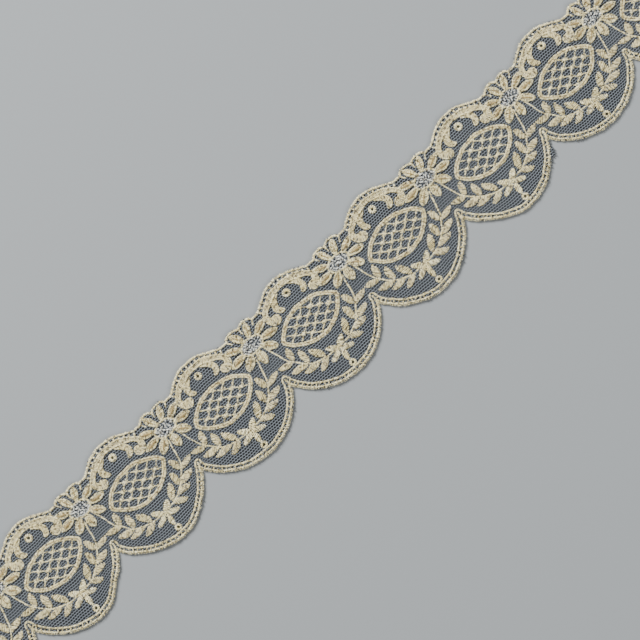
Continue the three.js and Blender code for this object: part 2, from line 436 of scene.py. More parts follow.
def linear(colour: str) -> tuple[float, float, float, float]:
    """Turns an sRGB colour to linear light.

    Args:
        colour: a hex value with its hash sign.

    Returns:
        Red, green, blue and alpha.
    """
    parts = [int(colour[i : i + 2], 16) / 255 for i in (1, 3, 5)]
    red, green, blue = (p / 12.92 if p <= 0.04045 else ((p + 0.055) / 1.055) ** 2.4 for p in parts)
    return red, green, blue, 1.0


def blank(name: str) -> tuple[bpy.types.Material, Callable[..., bpy.types.Node]]:
    """Starts a material.

    Args:
        name: the material's name.

    Returns:
        The material, with no nodes yet, and the function that adds one to it.
    """
    material = bpy.data.materials.new(name)
    material.use_nodes = True
    material.node_tree.nodes.clear()
    return material, partial(add_node, material.node_tree)


@dataclass(frozen=True)
class Patches:
    """Uneven patches of a real size: a share that grows from 0 to its most between two levels of a noise."""

    size_mm: float
    detail: float
    low: float
    high: float
    most: float = 1.0

    def share(self, add: Callable[..., bpy.types.Node], place: bpy.types.NodeSocket) -> bpy.types.Node:
        """Adds the patches to a material.

        Args:
            add: the function that adds a node to it.
            place: the coordinates that the pattern follows.

        Returns:
            The node with the patches' share.
        """
        scale = 1 / (self.size_mm * MM)
        noise = add("ShaderNodeTexNoise", {"Vector": place, "Scale": scale, "Detail": self.detail})
        levels = {"From Min": self.low, "From Max": self.high, "To Max": self.most}
        return add("ShaderNodeMapRange", {"Value": noise, **levels})


@dataclass(frozen=True)
class ThreadFinish:
    """A spun thread: matt fibres with a soft sheen, uneven in tone, with dark flecks of painted shade for the
    gaps between stitches.
    """

    name: str
    light: str
    dark: str
    aged: str
    # Flecks of painted shade: dark noise patches that stand in for the shadowed gaps between stitches.
    shade_fleck: str = "#483a1a"
    roughness: float = 0.75
    sheen: float = 0.2
    sheen_roughness: float = 0.5
    slubs: Patches = Patches(size_mm=0.8, detail=1.0, low=0.42, high=0.6)
    slub_share: float = 0.5
    mottle: Patches = Patches(size_mm=6.0, detail=2.0, low=0.48, high=0.78, most=0.5)
    shade_flecks: Patches = Patches(size_mm=1.0, detail=1.0, low=0.5, high=0.68, most=0.95)
    # Cotton fibres, about 0.02 mm, are too fine to show in the render, so their fuzz is drawn coarser.
    fibre_mm: float = 0.2
    fibre_detail: float = 3.0
    fuzz: float = 0.4

    def make(self) -> bpy.types.Material:
        """Makes the material: tone by stitch and slub, broad ageing, flecks of painted shade, and a bump of
        fibres.

        Returns:
            The material.
        """
        material, add = blank(self.name)
        place = add("ShaderNodeTexCoord").outputs["Object"]
        tint = add("ShaderNodeAttribute", attribute_name="tint").outputs["Fac"]
        slub, aged, shade_share = (patches.share(add, place) for patches in (self.slubs, self.mottle, self.shade_flecks))
        shade = add("ShaderNodeMix", {"Factor": self.slub_share, "A": tint, "B": slub}, data_type="FLOAT")
        colour = linear(self.dark)
        # The last mix lays the flecks of painted shade over the thread's colour.
        for share, over in ((shade, self.light), (aged, self.aged), (shade_share, self.shade_fleck)):
            colour = add("ShaderNodeMix", {"Factor": share, "A": colour, "B": linear(over)}, data_type="RGBA")
        fine = {"Scale": 1 / (self.fibre_mm * MM), "Detail": self.fibre_detail}
        fibres = add("ShaderNodeTexNoise", {"Vector": place, **fine})
        relief = {"Strength": self.fuzz, "Distance": self.fibre_mm * MM}
        surface = {
            "Base Color": colour,
            "Roughness": self.roughness,
            "Sheen Weight": self.sheen,
            "Sheen Roughness": self.sheen_roughness,
            "Normal": add("ShaderNodeBump", {"Height": fibres, **relief}),
        }
        add("ShaderNodeOutputMaterial", {"Surface": add("ShaderNodeBsdfPrincipled", surface)})
        return material


@dataclass(frozen=True)
class NetFinish:
    """Fine nylon net: threads uneven in tone from patch to patch, with painted shade that darkens each
    thread's foot below a crest of its own colour.
    """

    name: str
    thread: str
    pale: str
    foot: str
    roughness: float = 0.7
    gloss: float = 0.2
    patch_mm: float = 9.0
    patch_detail: float = 2.0
    foot_top: float = 0.55
    crest_start: float = 0.78

    def make(self) -> bpy.types.Material:
        """Makes the material: a slow change of tone over the net, and painted shade at a thread's foot.

        Returns:
            The material.
        """
        material, add = blank(self.name)
        place = add("ShaderNodeTexCoord").outputs["Object"]
        broad = {"Scale": 1 / (self.patch_mm * MM), "Detail": self.patch_detail}
        patches = add("ShaderNodeTexNoise", {"Vector": place, **broad})
        crest = add("ShaderNodeAttribute", attribute_name="crest").outputs["Fac"]
        levels = {"From Min": self.foot_top, "From Max": self.crest_start}
        unshaded = add("ShaderNodeMapRange", {"Value": crest, **levels})
        shades = {"A": linear(self.thread), "B": linear(self.pale)}
        colour = add("ShaderNodeMix", {"Factor": patches, **shades}, data_type="RGBA")
        # Below the crest the colour goes to the near black foot: painted shade between the threads.
        thread = add("ShaderNodeMix", {"Factor": unshaded, "A": linear(self.foot), "B": colour}, data_type="RGBA")
        surface = {"Base Color": thread, "Roughness": self.roughness, "Specular IOR Level": self.gloss}
        add("ShaderNodeOutputMaterial", {"Surface": add("ShaderNodeBsdfPrincipled", surface)})
        return material


# Mercerised cotton, spun and machine sewn: cream, nearly matt, a little uneven from stitch to stitch.
IVORY = ThreadFinish("mercerised cotton thread, ivory", light="#fff8cf", dark="#d5c584", aged="#cfbd7a")
# The same cotton, darker as painted shade: for stitches that are short and lie low between the bright rims.
IVORY_IN_PAINTED_SHADE = ThreadFinish("mercerised cotton thread, filling", light="#ebe0b1", dark="#c3b47a", aged="#bcab6f")
# Unbleached padding under the satin, partly painted shade: a warm tan line where two rows part, standing in
# for the groove's shade as well.
TAN_AND_PAINTED_SHADE = ThreadFinish(
    "cotton padding thread, tan", light="#b59c60", dark="#978047", aged="#8d763e", shade_fleck="#7d6737"
)
# Bleached cotton: small pale knots with a cool cast from the net.
PALE = ThreadFinish("cotton thread, bleached", light="#e6e6dc", dark="#adb1ae", aged="#c9c8b8")
# Knitted nylon: thin smooth threads that look cool and grey beside the cotton, near black at the foot as
# painted shade between the threads.
NYLON = NetFinish("nylon net, knitted", thread="#636970", pale="#767d83", foot="#030304")


def stitch_loop(outline: LoopShape, under: float) -> bpy.types.Object:
    """One stitch as a loop of thread over the net and back under it, kept out of the scene.

    Args:
        outline: the loop's shape over the net.
        under: the loop's depth under the net, as a share of its height above.

    Returns:
        A loop that reaches 1 each way along X and 0.5 each way along Y, with a crest along its outside.
    """
    shoulder_x, shoulder_z, foot = 0.93, 0.35, 0.7
    points = [*outline.value, (-foot, -under), (foot, -under)]
    rings = []
    for x, z in points:
        low_x, low_z = x * shoulder_x, z * shoulder_z
        rings += [(low_x, -0.5, low_z), (x, 0.0, z), (low_x, 0.5, low_z)]
    faces = []
    for i in range(len(points)):
        here, after = 3 * i, 3 * ((i + 1) % len(points))
        for j in range(3):
            turn = (j + 1) % 3
            faces.append((here + j, after + j, after + turn, here + turn))
    name = f"loop_{outline.name.lower()}"
    return bpy.data.objects.new(name, mesh_of(name, rings, faces=faces))


class GeometryTree:
    """A Geometry Nodes tree that sets one shape on many points, and the run that makes a plain mesh of it."""

    def __init__(self, name: str, **inputs: tuple[str, ...]) -> None:
        """Makes the tree's sockets: the geometry, those of its own, the shape and the material.

        Args:
            name: the tree's name.
            **inputs: the names of its own inputs, by their kind of socket.
        """
        self.tree = bpy.data.node_groups.new(name, "GeometryNodeTree")
        sockets = self.tree.interface
        self.identifiers: dict[str, str] = {}
        kinds = {"Geometry": ("Geometry",), **inputs, "Object": ("Shape",), "Material": ("Material",)}
        for kind, keys in kinds.items():
            for key in keys:
                socket = sockets.new_socket(key, in_out="INPUT", socket_type=f"NodeSocket{kind}")
                self.identifiers[key] = socket.identifier
        sockets.new_socket("Geometry", in_out="OUTPUT", socket_type="NodeSocketGeometry")
        self.add = partial(add_node, self.tree)
        self.given = self.add("NodeGroupInput").outputs

    def end(self, points: bpy.types.Node, **placing: bpy.types.Node) -> None:
        """Sets the shape on each point, realizes the copies, gives them the material and ends the tree.

        Where the tree has a seed, each copy gets its own random shade, which the threads' colour reads.

        Args:
            points: the node that gives the points.
            **placing: the nodes that give the copies' Rotation and Scale.
        """
        add, given = self.add, self.given
        shape = add("GeometryNodeObjectInfo", {"Object": given["Shape"]}).outputs["Geometry"]
        copies = add("GeometryNodeInstanceOnPoints", {"Points": points, "Instance": shape, **placing})
        if "Seed" in self.identifiers:
            shade = add("FunctionNodeRandomValue", {"Min": 0.0, "Max": 1.0, "Seed": given["Seed"]})
            tint = {"Geometry": copies, "Name": "tint", "Value": shade}
            copies = add("GeometryNodeStoreNamedAttribute", tint, domain="INSTANCE")
        real = add("GeometryNodeRealizeInstances", {"Geometry": copies})
        dressed = add("GeometryNodeSetMaterial", {"Geometry": real, "Material": given["Material"]})
        add("NodeGroupOutput", {"Geometry": dressed})

    def run(self, name: str, base: bpy.types.Mesh, values: dict[str, Any]) -> bpy.types.Object:
        """Runs the tree on a mesh, then removes that mesh and the shape.

        Args:
            name: the finished piece's name.
            base: the mesh that the tree reads.
            values: each input's value.

        Returns:
            The piece, a plain mesh at the origin.
        """
        carrier = put(f"{name}_base", base)
        modifier = carrier.modifiers.new("nodes", "NODES")
        modifier.node_group = self.tree
        for key, value in values.items():
            modifier[self.identifiers[key]] = value
        evaluated = carrier.evaluated_get(bpy.context.evaluated_depsgraph_get())
        mesh = bpy.data.meshes.new_from_object(evaluated)
        bpy.data.objects.remove(carrier)
        bpy.data.meshes.remove(base)
        bpy.data.objects.remove(values["Shape"])
        mesh.name = name
        return put(name, mesh)


class StitchTree(GeometryTree):
    """Sets one stitch after another on every row of a mesh of edges."""

    ATTRIBUTES = ("half", "rise", "slant")
    SIZES = ("Spacing", "Thread", "Half length", "Slant spread", "Length spread", "Height spread", "Wander")

    def __init__(self) -> None:
        """Builds the tree."""
        super().__init__("stitch_rows", Float=self.SIZES, Bool=("Along",), Int=("Seed",))
        add, given = self.add, self.given
        curves = add("GeometryNodeMeshToCurve", {"Mesh": given["Geometry"]})
        spaced = {"Curve": curves, "Length": given["Spacing"]}
        points = add("GeometryNodeCurveToPoints", spaced, mode="LENGTH")
        place = add("ShaderNodeSeparateXYZ", {0: add("GeometryNodeInputPosition")})
        reach = add("ShaderNodeMath", {0: place.outputs["X"]}, operation="ABSOLUTE")
        past = add("ShaderNodeMath", {0: reach, 1: given["Half length"]}, operation="GREATER_THAN")
        kept = add("GeometryNodeDeleteGeometry", {"Geometry": points, "Selection": past})
        half, rise, slant = (add("GeometryNodeInputNamedAttribute", {"Name": key}) for key in self.ATTRIBUTES)
        ahead = points.outputs["Tangent"]
        aside = add("ShaderNodeVectorMath", {0: ahead, 1: UP}, operation="CROSS_PRODUCT")
        ways = {"Switch": given["Along"], "False": aside, "True": ahead}
        lie = add("GeometryNodeSwitch", ways, input_type="VECTOR")
        axes = {"Primary Axis": lie, "Secondary Axis": UP}
        level = add("FunctionNodeAxesToRotation", axes, primary_axis="X", secondary_axis="Z")
        angle = add("ShaderNodeMath", {0: slant, 1: self.spread("Slant spread", 1)}, operation="ADD")
        lean = add("FunctionNodeEulerToRotation", {0: add("ShaderNodeCombineXYZ", {"Z": angle})})
        turns = {"Rotation": level, "Rotate By": lean}
        turned = add("FunctionNodeRotateRotation", turns, rotation_space="LOCAL")
        scale = {"Y": given["Thread"]}
        for axis, size, spread, draw in (("X", half, "Length spread", 2), ("Z", rise, "Height spread", 6)):
            share = add("ShaderNodeMath", {0: 1.0, 1: self.spread(spread, draw)}, operation="ADD")
            scale[axis] = add("ShaderNodeMath", {0: size, 1: share}, operation="MULTIPLY")
        wander = {axis: self.spread("Wander", draw) for axis, draw in (("X", 3), ("Y", 4), ("Z", 5))}
        offset = add("ShaderNodeCombineXYZ", wander)
        moved = add("GeometryNodeSetPosition", {"Geometry": kept, "Offset": offset})
        self.end(moved, Rotation=turned, Scale=add("ShaderNodeCombineXYZ", scale))

    def spread(self, name: str, draw: int) -> bpy.types.Node:
        """Adds a random number between plus and minus an input.

        Args:
            name: the input's name.
            draw: a number of its own, so that no two spreads of a stitch are alike.

        Returns:
            The node with the random number.
        """
        most = self.given[name]
        least = self.add("ShaderNodeMath", {0: most, 1: -1.0}, operation="MULTIPLY")
        seed = self.add("ShaderNodeMath", {0: self.given["Seed"], 1: float(draw)}, operation="ADD")
        return self.add("FunctionNodeRandomValue", {"Min": least, "Max": most, "Seed": seed})


class NetTree(GeometryTree):
    """Repeats a hexagonal cell of threads over a flat outline."""

    RAY_LENGTH = 2.0

    def __init__(self) -> None:
        """Builds the tree."""
        super().__init__("hexagonal_net", Float=("Pitch", "Row height", "Middle"), Int=("Columns", "Rows"))
        add, given = self.add, self.given
        spans = {"Vertices X": given["Columns"], "Vertices Y": given["Rows"]}
        for span, apart, count in (("Size X", "Pitch", "Columns"), ("Size Y", "Row height", "Rows")):
            gaps = add("ShaderNodeMath", {0: given[count], 1: 1.0}, operation="SUBTRACT")
            spans[span] = add("ShaderNodeMath", {0: gaps, 1: given[apart]}, operation="MULTIPLY")
        grid = add("GeometryNodeMeshGrid", spans)
        index = add("GeometryNodeInputIndex")
        in_column = add("ShaderNodeMath", {0: index, 1: given["Rows"]}, operation="MODULO")
        odd = add("ShaderNodeMath", {0: in_column, 1: 2.0}, operation="MODULO")
        half = add("ShaderNodeMath", {0: given["Pitch"], 1: 0.5}, operation="MULTIPLY")
        step = add("ShaderNodeMath", {0: odd, 1: half}, operation="MULTIPLY")
        offset = add("ShaderNodeCombineXYZ", {"X": step, "Y": given["Middle"]})
        cells = add("GeometryNodeSetPosition", {"Geometry": grid, "Offset": offset})
        here = add("GeometryNodeInputPosition")
        above = add("ShaderNodeVectorMath", {0: here, 1: UP}, operation="ADD")
        ray = {"Source Position": above, "Ray Direction": (0, 0, -1), "Ray Length": self.RAY_LENGTH}
        over = add("GeometryNodeRaycast", {"Target Geometry": given["Geometry"], **ray})
        missed = add("FunctionNodeBooleanMath", {0: over}, operation="NOT")
        self.end(add("GeometryNodeDeleteGeometry", {"Geometry": cells, "Selection": missed}))


class SeedTree(GeometryTree):
    """Scatters small knots over flat faces."""

    DENSEST = 5e6
    SMALLEST = 0.75
    LARGEST = 1.2

    def __init__(self) -> None:
        """Builds the tree."""
        super().__init__("seed_stitches", Float=("Apart", "Size"), Int=("Seed",))
        add, given = self.add, self.given
        seed = {"Seed": given["Seed"]}
        faces = {"Mesh": given["Geometry"], "Distance Min": given["Apart"], "Density Max": self.DENSEST}
        spots = {**faces, **seed}
        points = add("GeometryNodeDistributePointsOnFaces", spots, distribute_method="POISSON")
        turn = add("FunctionNodeRandomValue", {"Min": 0.0, "Max": math.tau, **seed})
        share = add("FunctionNodeRandomValue", {"Min": self.SMALLEST, "Max": self.LARGEST, **seed})
        size = add("ShaderNodeMath", {0: given["Size"], 1: share}, operation="MULTIPLY")
        self.end(points, Rotation=add("ShaderNodeCombineXYZ", {"Z": turn}), Scale=size)


class Machine:
    """Sews piece after piece, each with its own seed, and keeps what it has sewn."""

    SEED_STEP = 10
    LEAST_SHARE = 0.35

    def __init__(self, lay: Lay) -> None:
        """Threads the machine.

        Args:
            lay: the strip's lay.
        """
        self.lay = lay
        self.tree = StitchTree()
        self.threads = {finish: finish.make() for finish in (IVORY, IVORY_IN_PAINTED_SHADE, TAN_AND_PAINTED_SHADE, PALE)}
        self.sewn: list[bpy.types.Object] = []

    def keep(self, piece: bpy.types.Object) -> None:
        """Lets a finished piece ride on the part, and keeps it."""
        self.sewn.append(carry(piece))

    def chart(self, name: str, rows: Sequence[Row], style: StitchStyle) -> bpy.types.Mesh:
        """Lays rows out as edges, with what each stitch needs to know at their points.

        Args:
            name: the piece's name.
            rows: its rows, on the straight pattern.
            style: how the stitches are set.

        Returns:
            The edges, where a stitch is the lower the shorter it is.
        """
        places, edges, values = [], [], []
        for row in rows:
            count, first = len(row.path), sum(map(len, places))
            half = np.broadcast_to(np.asarray(row.half, float), count)
            rise = style.rise * np.clip(half / half.max(), self.LEAST_SHARE, 1) ** 0.5
            places.append(self.lay.place(row.path, NET_HEIGHT + style.lift))
            values.append(np.stack([half * MM, rise * MM, np.full(count, math.radians(row.slant))]))
            edges += [(first + i, first + i + 1) for i in range(count - 1)]
            edges += [(first + count - 1, first)] if row.closed else []
        chart = mesh_of(f"{name}_rows", np.concatenate(places), edges)
        for attribute, numbers in zip(StitchTree.ATTRIBUTES, np.concatenate(values, axis=1)):
            chart.attributes.new(attribute, "FLOAT", "POINT").data.foreach_set("value", numbers)
        return chart

    def sew(self, name: str, rows: Sequence[Row], style: StitchStyle, finish: ThreadFinish) -> None:
        """Sews a piece.

        Args:
            name: the piece's name.
            rows: its rows, on the straight pattern.
            style: how the stitches are set.
            finish: the thread.
        """
        settings = {
            "Spacing": style.spacing * MM,
            "Thread": style.thread * MM,
            "Half length": LENGTH / 2 * MM,
            "Slant spread": math.radians(style.slant_spread),
            "Length spread": style.length_spread,
            "Height spread": style.height_spread,
            "Wander": style.wander * MM,
            "Along": style.direction.value,
            "Seed": self.SEED_STEP * len(self.sewn),
            "Shape": stitch_loop(style.loop, style.under),
            "Material": self.threads[finish],
        }
        piece = self.tree.run(name, self.chart(name, rows, style), settings)
        piece.data.shade_smooth()
        self.keep(piece)


@dataclass
class ScallopBorder:
    """The lower edge: a cord on a row of round scallops, a second cord inside it and threads between them."""

    low: float = -27.3
    valley: float = -13.2
    arc_points: int = 41
    outer_inset: float = 0.45
    outer_half: float = 0.42
    inner_inset: float = 2.1
    inner_half: float = 0.42
    cord_slant: float = 18.0
    cap_reach: float = 1.6
    cap_rise: float = 2.8
    cap_points: int = 9
    tail: float = 2.9
    tail_points: int = 5
    ladder_stop: float = 0.8

    def scallop(self, reach: float, inset: float) -> np.ndarray:
        """Points on one scallop's arc, or on a line inside it.

        Args:
            reach: how far it goes each side of the scallop's middle.
            inset: how far inside the edge it lies.

        Returns:
            X and Y, a row for each point.
        """
        depth = self.valley - self.low
        full_radius = (HALF_PITCH**2 + depth**2) / (2 * depth)
        radius = full_radius - inset
        half = math.degrees(math.asin(reach / radius))
        return arc((0, self.low + full_radius), (radius, radius), -90 - half, -90 + half, self.arc_points)

    def edge(self, inset: float = 0.0) -> np.ndarray:
        """The edge from left to right, or a line inside it."""
        scallop = self.scallop(HALF_PITCH, inset)
        return np.concatenate([scallop[1:] + (axis, 0) for axis in AXES])

    def outer(self) -> np.ndarray:
        """The outer cord's path."""
        return self.edge(self.outer_inset)

    def inner(self) -> np.ndarray:
        """The inner cord's path: scallops joined by a round cap over each valley.

        Returns:
            X and Y, a row for each point.
        """
        scallop = self.scallop(HALF_PITCH - self.cap_reach, self.inner_inset)
        middle, radii = (HALF_PITCH, scallop[-1, 1]), (self.cap_reach, self.cap_rise)
        cap = arc(middle, radii, 180, 0, self.cap_points)[1:-1]
        return np.concatenate([part + (axis, 0) for axis in AXES for part in (scallop, cap)])

    def cords(self) -> list[Row]:
        """The two cords, and the tail where two scallops' outer cords join under the inner cord's cap.

        Returns:
            Their rows.
        """
        outer = Row(self.outer(), self.outer_half, slant=self.cord_slant)
        inner = Row(self.inner(), self.inner_half, slant=-self.cord_slant)
        line = np.linspace((0, self.valley), (0, self.valley + self.tail), self.tail_points)
        return [outer, inner, *on_axes([Row(line, self.outer_half)], start=HALF_PITCH)]

    def ladder(self) -> list[Row]:
        """Threads across the gap between the cords."""
        gap = self.scallop(HALF_PITCH - self.ladder_stop, (self.outer_inset + self.inner_inset) / 2)
        return on_axes([Row(gap, (self.inner_inset - self.outer_inset) / 2)])

    def make(self, machine: Machine) -> None:
        """Sews the cords and the ladder between them."""
        machine.sew("border_cords", self.cords(), CORD, IVORY)
        machine.sew("border_ladder", self.ladder(), LOOSE, IVORY_IN_PAINTED_SHADE)


@dataclass
class Heading:
    """The upper edge: a cord with an arch over each oval and two bumps over each daisy.

    The arch, its feet and the bump are measured from the oval's axis, and the ties from the middle between
    two ovals.
    """

    arch_top: float = 21.75
    arch_shift: float = -0.5
    arch_radius: float = 16.2
    arch_half: float = 28.5
    arch_points: int = 17
    foot: tuple[float, float] = (13.5, 16.65)
    bump: tuple[float, float] = (20.45, 16.4)
    bump_radii: tuple[float, float] = (3.3, 1.8)
    bump_cut: float = 4.0
    bump_points: int = 13
    half: float = 0.45
    cord_slant: float = 15.0
    gap: float = 1.25
    ladder_half: float = 0.8
    ladder_slant: float = 12.0
    outer_tie: tuple[tuple[float, float], ...] = ((6.8, 16.4), (6.2, 15.5), (5.6, 14.6))
    middle_tie: tuple[tuple[float, float], ...] = ((0, 16.8), (0, 15.9), (0, 15.0))
    tie_half: float = 0.35

    def arch(self) -> np.ndarray:
        """One arch from its left foot to its right one.

        Returns:
            X and Y, a row for each point.
        """
        centre = (self.arch_shift, self.arch_top - self.arch_radius)
        radii = (self.arch_radius, self.arch_radius)
        top = arc(centre, radii, 90 + self.arch_half, 90 - self.arch_half, self.arch_points)
        return np.concatenate([[(-self.foot[0], self.foot[1])], top, [self.foot]])

    def edge(self) -> np.ndarray:
        """The edge from left to right.

        Returns:
            X and Y, a row for each point.
        """
        right = arc(self.bump, self.bump_radii, 180 - self.bump_cut, self.bump_cut, self.bump_points)
        parts = (right[::-1] * (-1, 1), self.arch(), right)
        return np.concatenate([part + (axis, 0) for axis in AXES for part in parts])

    def ladder(self) -> list[Row]:
        """Threads from the cord to the scroll under the arch."""
        return on_axes([Row(beside(self.arch(), -self.gap), self.ladder_half, slant=self.ladder_slant)])

    def ties(self) -> list[Row]:
        """Short bars from the notches beside the bumps to the daisy below."""
        outer, middle = (Row(np.array(tie), self.tie_half) for tie in (self.outer_tie, self.middle_tie))
        return on_axes([outer], SIDES, HALF_PITCH) + on_axes([middle], start=HALF_PITCH)

    def make(self, machine: Machine) -> None:
        """Sews the cord, the ladder and the ties.

        Args:
            machine: sews the rows.
        """
        cord = Row(self.edge(), self.half, slant=self.cord_slant)
        machine.sew("heading_cord", [cord], HEADING_CORD, IVORY)
        machine.sew("heading_ladder", self.ladder(), RUNG, IVORY)
        machine.sew("heading_ties", self.ties(), LINE, IVORY)


@dataclass(frozen=True)
class Eyelet:
    """A small stitched ring on a repeat's axis."""

    height: float
    radius: float
    half: float
    points: int = 24

    def row(self) -> Row:
        """Its satin row."""
        ring = ellipse((0, self.height), (self.radius, self.radius), self.points)
        return Row(ring, self.half, closed=True)

    def covers(self, points: np.ndarray) -> np.ndarray:
        """Which pattern points lie inside the ring's middle line, in any repeat."""
        along = (points[:, 0] + HALF_PITCH) % PITCH - HALF_PITCH
        return np.hypot(along, points[:, 1] - self.height) < self.radius


@dataclass
class Eyelets:
    """The rings of a repeat, one under the arch and one below the sprig's drop, with no net inside them."""

    rings: tuple[Eyelet, ...] = (
        Eyelet(height=14.7, radius=1.15, half=0.6),
        Eyelet(height=-23.4, radius=1.05, half=0.48),
    )

    def cover(self, points: np.ndarray) -> np.ndarray:
        """Which pattern points lie inside any ring."""
        return np.any([ring.covers(points) for ring in self.rings], axis=0)

    def make(self, machine: Machine) -> None:
        """Sews the rings."""
        machine.sew("eyelets", on_axes([ring.row() for ring in self.rings]), RING, IVORY)


@dataclass
class NetGround:
    """The net: threads of a hexagonal mesh over the whole outline.

    The real mesh, 0.93 mm by 0.78 mm, is too fine to show in the render, so it is drawn nearly a third
    coarser, with broad threads that carry painted shade at the foot.

    Attributes:
        pitch: from one cell to the next along a row.
        row_height: from one row to the next.
        zigzag: how far a row's threads rise and fall.
        row_thread: width of those threads at the foot.
        cross_thread: width of the threads between two rows.
        ridge: height of a thread's crest.
        ragged: how far the lower edge is cut outside its cord.
        nibbles: the rates and phases of that cut's unevenness.
        inset: how far the cells' middles stay inside the two edges.
        sliver: place and reach of the one sliver of net left standing past the lower edge.
        spare: cells more than the outline needs, each way.
    """

    pitch: float = 1.2
    row_height: float = 1.0
    zigzag: float = 0.28
    row_thread: float = 0.94
    cross_thread: float = 0.52
    ridge: float = 0.22
    ragged: float = 0.4
    nibbles: tuple[tuple[float, float], ...] = ((5.3, 0.0), (12.7, 1.0))
    inset: float = 0.3
    sliver: tuple[float, float] = (115.0, 2.1)
    spare: int = 2

    def cell(self) -> bpy.types.Object:
        """The three threads that one cell adds: two of the row above it, and one down its right side.

        Returns:
            The cell, kept out of the scene.
        """
        half, top = self.pitch / 2, (self.row_height + self.zigzag) / 2
        shoulder = top - self.zigzag
        threads = (
            ((-half, shoulder), (0, top), self.row_thread),
            ((0, top), (half, shoulder), self.row_thread),
            ((half, shoulder), (half, -shoulder), self.cross_thread),
        )
        vertices, faces = [], []
        for start, end, width in threads:
            start, end = np.array(start), np.array(end)
            ahead = (end - start) / np.linalg.norm(end - start)
            aside = np.array([-ahead[1], ahead[0]]) * width / 2
            for point in (start, end):
                first = len(vertices)
                for side, height in ((-1, 0.0), (0, self.ridge), (1, 0.0)):
                    vertices.append((*(point + side * aside), height))
            faces += [(first - 3, first, first + 1, first - 2), (first - 2, first + 1, first + 2, first - 1)]
        mesh = mesh_of("net_cell", np.array(vertices) * MM, faces=faces)
        # The crest share, from 0 at a thread's foot to 1 on its crest, places the painted shade at the foot.
        crest = [height / self.ridge for _, _, height in vertices]
        mesh.attributes.new("crest", "FLOAT", "POINT").data.foreach_set("value", crest)
        return bpy.data.objects.new("net_cell", mesh)

    def outline(self, border: ScallopBorder, heading: Heading) -> np.ndarray:
        """The cut's outline: the two edges, the lower one a little outside its cord, with square ends.

        Args:
            border: the lower edge.
            heading: the upper edge.

        Returns:
            X and Y, a row for each corner.
        """
        lower = border.edge()
        along = lower[:, 0] / PITCH * math.pi
        uneven = sum((np.sin(rate * along + phase) for rate, phase in self.nibbles), 1.0)
        uneven = self.ragged * np.sin(2 * along) ** 2 * np.clip(uneven, 0, None)
        place, reach = self.sliver
        lower = beside(lower, -uneven - reach * np.exp(-(((lower[:, 0] - place) / reach) ** 2)))
        upper = heading.edge() - (0, self.inset)
        outline = np.concatenate([lower + (0, self.inset), upper[::-1]])
        outline[:, 0] = np.clip(outline[:, 0], -LENGTH / 2, LENGTH / 2)
        return outline

    def flat_area(self, border: ScallopBorder, heading: Heading) -> float:
        """The cut's area inside its two edges, in square metres."""
        x, y = (replace(self, inset=0.0).outline(border, heading) * MM).T
        return abs(float(np.dot(x, np.roll(y, -1)) - np.dot(y, np.roll(x, -1)))) / 2

    def open_holes(self, mesh: bpy.types.Mesh, eyelets: Eyelets) -> None:
        """Takes the net's threads out of the eyelets.

        Args:
            mesh: the net, still on the straight pattern.
            eyelets: the rings.
        """
        open_here = eyelets.cover(vectors(mesh.polygons, "center")[:, :2] / MM)
        net = bmesh.new()
        net.from_mesh(mesh)
        net.faces.ensure_lookup_table()
        bmesh.ops.delete(net, geom=[net.faces[i] for i in np.flatnonzero(open_here)], context="FACES")
        net.to_mesh(mesh)
        net.free()

    def make(self, border: ScallopBorder, heading: Heading, eyelets: Eyelets, lay: Lay) -> bpy.types.Object:
        """Makes the net inside the two edges.

        Args:
            border: the lower edge.
            heading: the upper edge.
            eyelets: the rings, which have no net inside them.
            lay: the strip's lay.

        Returns:
            The net, with its cut ends square.
        """
        outline = self.outline(border, heading)
        corners = np.column_stack([outline, np.zeros(len(outline))]) * MM
        plate = mesh_of("outline", corners, faces=[range(len(corners))])
        low, high = outline[:, 1].min(), outline[:, 1].max()
        settings = {
            "Pitch": self.pitch * MM,
            "Row height": self.row_height * MM,
            "Middle": (low + high) / 2 * MM,
            "Columns": round(LENGTH / self.pitch) + self.spare,
            "Rows": round((high - low) / self.row_height) + self.spare,
            "Shape": self.cell(),
            "Material": NYLON.make(),
        }
        piece = NetTree().run("net", plate, settings)
        self.open_holes(piece.data, eyelets)
        points = vectors(piece.data.vertices, "co")
        placed = lay.place(points[:, :2] / MM, NET_HEIGHT)
        placed[:, 2] += points[:, 2]
        piece.data.vertices.foreach_set("co", placed.ravel())
        piece.data.update()
        return piece


